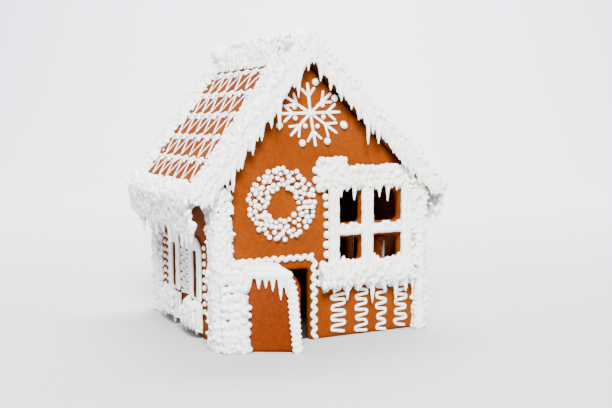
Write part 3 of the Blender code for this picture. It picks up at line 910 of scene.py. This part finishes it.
for u in stepped(sill_dice, -2.0, 67, 2.8, 4.4):
    root = on_wall("front", u, 39.0, sill_dice.uniform(3.0, 8.0))
    icicle(sill_heap, root, sill_dice.choice((3.0, 4.5, 6.0)), sill_dice.uniform(1.2, 1.8))
for u, reach in ((4, 8), (13.9, 13), (22, 8), (33.4, 17), (43, 10), (52, 17), (60, 11), (65.5, 10)):
    icicle(sill_heap, on_wall("front", u, 39.5, 6.2), reach, 1.9)
add_icing("icing_window_sill_pulled", sill_heap, ["icing_window_sill"], seed=12)


def poured(name, line_places, radius, node, seed):
    """A smooth piped band over a CAD solid, from parallel lines laid side by side."""
    dice = random.Random(name)
    heap = Heap(node)
    for start, end in line_places:
        shares = np.linspace(0, 1, max(6, int(np.linalg.norm(end - start) / 2)))
        path = np.array([start + (end - start) * share for share in shares])
        rope(heap, path, radius + np.array([dice.uniform(-0.25, 0.25) for _ in shares]))
    add_icing(name, heap, [node], seed, rounds=4, lumps=((0.25, 4.5), (0.1, 2.0)))


for node, left, right in (
    ("icing_window_post_left", 4.2, 7.4),
    ("icing_window_post_middle", 29.4, 33.4),
    ("icing_window_post_right", 60.6, 64.2),
):
    lines = [[on_wall("front", u, z, 2.5) for z in (53.0, 103.0)] for u in (left, right)]
    poured(node + "_piped", lines, 2.5, node, 13)
for node, left, right in (
    ("icing_window_bar_left", 9.6, 27.0),
    ("icing_window_bar_right", 36.0, 58.0),
):
    lines = [[on_wall("front", u, z, 2.3) for u in (left, right)] for z in (72.3, 74.5)]
    poured(node + "_piped", lines, 2.4, node, 14)


def kiss(heap, place, out, radius, height, lean=(0.0, 0.0, 0.0)):
    """A piped dot: a round drop with its foot on the face and a small peak."""
    out, place, lean = unit(out), np.asarray(place), np.asarray(lean)
    across = unit(np.cross(out, (0.31, 0.2, 0.93)))
    upward = np.cross(out, across)
    turns = np.arange(8) * (math.pi / 4)
    circle = np.outer(np.cos(turns), across) + np.outer(np.sin(turns), upward)
    rings = [
        place + circle * radius * share + out * height * rise + lean * max(rise, 0)
        for share, rise in ((0.8, -0.25), (1.0, 0.25), (0.84, 0.62), (0.42, 0.9))
    ]
    tips = place - out * height * 0.3, place + out * height * 1.04 + lean
    points = np.vstack([*rings, *tips])
    faces = []
    for ring in range(3):
        for side in range(8):
            after, low, high = (side + 1) % 8, ring * 8, ring * 8 + 8
            faces.append((low + side, low + after, high + after, high + side))
    for side in range(8):
        after = (side + 1) % 8
        faces.append((32, after, side))
        faces.append((33, 24 + side, 24 + after))
    heap.add(points * MM + np.array(MIDDLE), faces)


def add_piping(name, heap, *nodes):
    """Fine piping as its own small closed shapes, without a common skin."""
    mesh = bpy.data.meshes.new(name)
    mesh.from_pydata(heap.all_points(), [], heap.faces)
    mesh.polygons.foreach_set("use_smooth", [True] * len(mesh.polygons))
    shape = bmesh.new()
    shape.from_mesh(mesh)
    bmesh.ops.recalc_face_normals(shape, faces=shape.faces[:])
    shape.to_mesh(mesh)
    shape.free()
    add_piece(name, mesh, icing, "royal_icing", *nodes)


frame_dots = Heap()
dots_dice = random.Random("window dots")
left_dots = [(-7.2, 114.5), (-6.6, 108.0), (-4.5, 102.0), (-0.2, 96.5)]
left_dots += [(1.0, 91.0 - 6.7 * step) for step in range(6)]
left_dots += [(-1.5, 51.0), (-4.5, 45.5), (-4.0, 38.5)]
right_dots = [(68.6, 95.0 - 7.0 * step) for step in range(7)]
for u, z in left_dots + right_dots:
    place = on_wall("front", u + dots_dice.uniform(-0.4, 0.4), z, 0.2)
    kiss(frame_dots, place, FRONT_OUT, dots_dice.uniform(2.3, 2.8), 2.6)
for u, z in ((18.5, 77.5), (21.5, 77.2), (44.0, 77.4), (47.0, 77.0), (56.0, 77.2), (12.0, 77.0)):
    place = on_wall("front", u, z - 0.8, 3.0)
    kiss(frame_dots, place, FRONT_OUT + UP * 0.6, dots_dice.uniform(2.0, 2.5), 2.6)
add_piping("icing_window_dots", frame_dots)

# ---------------------------------------------------------------- zigzags and the door's border
# Below the window four zigzags hang down the wall like curtains. A heavier zigzag runs
# above the doorway, and another down its right side.


def piped_path(points, blur):
    """A line through flat points, resampled every millimetre, with its corners rounded off."""
    points = np.asarray(points, dtype=float)
    steps = np.linalg.norm(np.diff(points, axis=0), axis=1)
    run = np.concatenate([[0.0], np.cumsum(steps)])
    marks = np.linspace(0, run[-1], max(4, int(run[-1])))
    fine = np.stack([np.interp(marks, run, points[:, axis]) for axis in range(2)], axis=1)
    if blur > 1:
        padded = np.vstack([np.repeat(fine[:1], blur, 0), fine, np.repeat(fine[-1:], blur, 0)])
        kernel = np.ones(blur) / blur
        smooth = [np.convolve(padded[:, axis], kernel, "same")[blur:-blur] for axis in range(2)]
        fine = np.stack(smooth, axis=1)
    return fine


def pipe(heap, place_of, out, points, radius, dice, flat=0.8, sides=8, blur=3):
    """Icing piped on a face along flat points, a little uneven in width."""
    fine = piped_path(points, blur)
    path = np.array([place_of(u, v, radius * flat * 0.55) for u, v in fine])
    phase = dice.uniform(0, 6)
    wave = 0.09 * np.sin(np.arange(len(path)) * 0.9 + phase)
    rope(heap, path, radius * (1 + wave + dice.uniform(-0.05, 0.05)), out, flat, sides)


def zigzag(centre, half, top, bottom, stroke, dice):
    """The corners of a line that runs down a wall in nearly level strokes, turning back
    at each end."""
    points, z, side = [], top, -1
    while z > bottom:
        wide = half * dice.uniform(0.8, 1.1)
        slant = stroke * dice.uniform(0.15, 0.4)
        points.append((centre - side * wide, z))
        points.append((centre + side * wide * dice.uniform(0.9, 1.05), z - slant))
        z -= stroke * dice.uniform(0.92, 1.08)
        side = -side
    return points


curtains = Heap()
curtain_dice = random.Random("curtains")
on_front = partial(on_wall, "front")
for centre, half, top, stroke in (
    (10.0, 5.5, 30.0, 3.7),
    (27.8, 4.2, 36.0, 3.6),
    (43.7, 3.6, 36.0, 3.7),
    (59.3, 4.5, 36.0, 3.6),
):
    points = zigzag(centre, half, top, 2.0, stroke, curtain_dice)
    pipe(curtains, on_front, FRONT_OUT, points, 1.05, curtain_dice, blur=2)
add_piping("icing_curtain_zigzags", curtains)

border = Heap()
border_dice = random.Random("door border")
lintel = [(-62.0 + 2.75 * step, 56.7 + (1.5 if step % 2 else -1.3)) for step in range(20)]
jamb = [(-8.4 + (1.7 if step % 2 else -1.7), 55.0 - 3.15 * step) for step in range(18)]
for line in (lintel, jamb):
    line = [[number + border_dice.uniform(-0.3, 0.3) for number in corner] for corner in line]
    pipe(border, on_front, FRONT_OUT, line, 1.55, border_dice, blur=2)
add_piping("icing_door_border", border)

# ---------------------------------------------------------------- wreath and snowflake
# A wreath of piled dots and a snowflake of eight piped arms are drawn on the front gable,
# with loose dots between and round the arms. The back gable carries the same pair.


def wreath(heap, face, centre, seed):
    """A ring of dots in two layers: the second layer sits on the first."""
    dice = random.Random(seed)
    laid = []
    for _ in range(5000):
        radius = math.sqrt(dice.uniform(10.5**2, 23.6**2))
        heading = dice.uniform(0, 2 * math.pi)
        spot = (radius * math.cos(heading), radius * math.sin(heading))
        if all(math.hypot(spot[0] - other[0], spot[1] - other[1]) > 3.05 for other in laid):
            laid.append(spot)
    out = WALL_OUT[face]
    for u, v in laid:
        size = dice.uniform(1.4, 2.0)
        place = on_wall(face, centre[0] + u, centre[1] + v, 0.1)
        lean = np.array([dice.uniform(-0.5, 0.5) for _ in range(3)])
        kiss(heap, place, out, size, dice.uniform(2.1, 3.0), lean)
    for u, v in dice.sample(laid, 30):
        place = on_wall(face, centre[0] + u * 0.97 + dice.uniform(-1, 1), centre[1] + v * 0.97, 1.5)
        kiss(heap, place, out, dice.uniform(1.4, 1.9), dice.uniform(1.8, 2.4))


def snowflake(heap, face, centre, arms, seed):
    """arms lists (direction in degrees, length) for the eight piped arms."""
    dice = random.Random(seed)

    def place_of(u, v, proud):
        return on_wall(face, centre[0] + u, centre[1] + v, proud)

    for heading, reach in arms:
        turn = math.radians(heading)
        along = (math.cos(turn), math.sin(turn))
        line = [(0, 0), (along[0] * reach, along[1] * reach)]
        pipe(heap, place_of, WALL_OUT[face], line, 1.0, dice, blur=1)
        for side in (-1, 1):
            branch = turn + side * math.radians(40)
            root = 0.56 * reach
            u, v = along[0] * root, along[1] * root
            twig = math.cos(branch) * reach * 0.36, math.sin(branch) * reach * 0.36
            line = [(u, v), (u + twig[0], v + twig[1])]
            pipe(heap, place_of, WALL_OUT[face], line, 0.9, dice, blur=1)
    kiss(heap, place_of(0, 0, 0.2), WALL_OUT[face], 2.6, 2.4)


front_flake = Heap()
arms = [(96, 19), (41, 19.5), (2, 21.5), (-34, 23.3)]
arms += [(-80, 21.3), (-134, 19.8), (181, 22.2), (149, 20)]
snowflake(front_flake, "front", (-10.7, 152.0), arms, "front flake")
small_dots = [(-22.2, 155.9), (-21.6, 148.8), (-14.4, 143.6)]
small_dots += [(-5.6, 143.5), (-1.2, 149.4), (-1.9, 157.3)]
for u, z in small_dots:
    kiss(front_flake, on_wall("front", u, z, 0.1), FRONT_OUT, 1.7, 1.9)
for u, z in ((-32.9, 144.3), (-16.6, 132.5), (1.7, 133.5), (7.0, 161.9), (-7.0, 172.2)):
    kiss(front_flake, on_wall("front", u, z, 0.1), FRONT_OUT, 2.5, 2.6)
kiss(front_flake, on_wall("front", 13.7, 144.7, 0.1), FRONT_OUT, 2.6, 2.6, (0.8, 0.0, -1.6))
add_piping("icing_snowflake_piped", front_flake, "icing_snowflake")

front_wreath = Heap()
wreath(front_wreath, "front", (-31.5, 93.0), "front wreath")
add_piping("icing_wreath_dots", front_wreath, "icing_wreath")

# ---------------------------------------------------------------- lace on the roof
# Each roof slab carries rows of lace: thin zigzag lines between heavier scalloped bands
# that run along the roof and drip a little, like courses of tiles.


def lace(name, side, rows, run):
    """Courses of lace on one roof face: rows lists where each starts and ends down the
    slope, and run is how far they go along it."""
    dice = random.Random(name)
    _, normal, _ = roof_axes(side)
    heap = Heap()

    def place_of(y, along, proud):
        return on_roof(side, along, y, proud)

    for top, bottom in rows:
        points = []
        for number, y in enumerate(stepped(dice, *run, 8.4, 10.8)):
            turning = bottom - 1.0 if number % 2 else top + 0.5
            points.append((y, turning + dice.uniform(-0.8, 0.8)))
        pipe(heap, place_of, normal, points, 0.52, dice, flat=0.9, sides=6, blur=1)
        swags, width = 7, run[1] - run[0]
        band = []
        for share in np.arange(161) / 160:
            dip = abs(math.sin(share * math.pi * swags))
            band.append((run[0] + width * share, top - 1.2 + 1.8 * dip))
        pipe(heap, place_of, normal, band, 1.15, dice, flat=0.8)
        for swag in range(swags + 1):
            y = run[0] + width * swag / swags
            for lean in (-3.2, 0.0, 3.2):
                drip = [(y, top - 1.5), (y + lean, top + dice.uniform(1.5, 3.6))]
                pipe(heap, place_of, normal, drip, 1.05, dice, flat=0.8, blur=1)
    add_piping(name, heap)


LACE_RUN = (-56, 66)
lace("icing_lace_left", "left", ((23, 41), (42, 60), (61, 79), (80, 98), (99, 117)), LACE_RUN)
lace("icing_lace_right", "right", ((23, 43), (45, 66), (68, 89), (91, 112), (114, 135)), LACE_RUN)

# ---------------------------------------------------------------- windows in the side walls
# Each side wall has two slit windows with a smooth arched surround of poured icing, a
# heaped window box below, and a panel of zigzag piping between them like closed shutters.


def side_windows(side):
    """The two windows of one side wall, the panel between them and the dots beside them."""
    sign = -1 if side == "left" else 1
    out = WALL_OUT[side]

    def box_face(a, z):
        """A place on a window box, fullest near its foot, and the way it faces."""
        return on_wall(side, a, z, 7.8 - 0.06 * (z - 16) ** 2 * 0.3), out

    for which, y in (("near", -26.0), ("far", 22.0)):
        u = y * sign
        surround = f"icing_window_surround_{side}_{which}"
        smooth_lumps = ((0.3, 6.0),)
        heap = Heap(surround)
        add_icing(surround + "_poured", heap, [surround], seed=31, rounds=5, lumps=smooth_lumps)
        box = f"icing_window_box_{side}_{which}"
        dice = random.Random(box)
        heap = Heap(box)
        spans = (u - 11.5, u + 11.5), (9.5, 22.0)
        strew(heap, dice, box_face, spans, 3.6, DOWN, (2.9, 1.9, 1.7), lift=0.9)
        for a in stepped(dice, u - 11.5, u + 12, 2.9, 3.9):
            crown = on_wall(side, a, 23.5 + dice.uniform(-0.6, 1.2), dice.uniform(2.5, 5.5))
            dab(heap, crown, (0, dice.uniform(-0.5, 0.5), 1), out, (2.6, 2.0, 2.2), 0.5)
            root = on_wall(side, a, 10.0, dice.uniform(3.0, 6.0))
            icicle(heap, root, dice.choice((3.5, 5.0, 6.5, 8.0)), 1.6)
        add_icing(box + "_pulled", heap, [box], seed=33)
    panel = Heap()
    dice = random.Random("panel" + side)
    place_of = partial(on_wall, side)
    middle = -2.0 * sign
    for centre in (middle - 5.4, middle + 5.4):
        points = zigzag(centre, 4.8, 62.0, 26.0, 2.9, dice)
        pipe(panel, place_of, out, points, 1.3, dice)
    columns = (-43.0, 20.0, 64.0), (-54.0, 14.0, 66.0), (41.0, 18.0, 66.0), (50.0, 18.0, 66.0)
    for y, low, high in columns:
        z = low
        while z < high:
            kiss(panel, place_of(y * sign, z, 0.1), out, dice.uniform(1.7, 2.1), 2.0)
            z += 5.4
    add_piping(f"icing_side_panel_{side}", panel)


side_windows("left")
side_windows("right")

# ---------------------------------------------------------------- the back gable
# The back wall has no opening. It is decorated like the front: a snowflake under the ridge,
# a wreath in the middle, and zigzags with a border of dots near the ground.

back_flake = Heap()
flake_middle = (14.0, 150.0)
snowflake(back_flake, "back", flake_middle, arms, "back flake")
for turn in range(8):
    heading = math.radians(22 + 45 * turn)
    u = flake_middle[0] + 11.0 * math.cos(heading)
    z = flake_middle[1] + 11.0 * math.sin(heading)
    kiss(back_flake, on_wall("back", u, z, 0.1), BACK_OUT, 1.7, 1.9)
add_piping("icing_back_snowflake", back_flake)

back_wreath = Heap()
wreath(back_wreath, "back", (2.0, 92.0), "back wreath")
add_piping("icing_back_wreath", back_wreath)

back_curtains = Heap()
back_dice = random.Random("back curtains")
for centre in (-48.0, -30.0, -12.0, 6.0, 24.0, 42.0):
    points = zigzag(centre, 5.2, 40.0, 3.0, 4.3, back_dice)
    pipe(back_curtains, partial(on_wall, "back"), BACK_OUT, points, 1.45, back_dice)
for step in range(18):
    spot = on_wall("back", -57.0 + 6.6 * step, 47.0, 0.1)
    kiss(back_curtains, spot, BACK_OUT, back_dice.uniform(2.1, 2.5), 2.4)
add_piping("icing_back_zigzags", back_curtains)
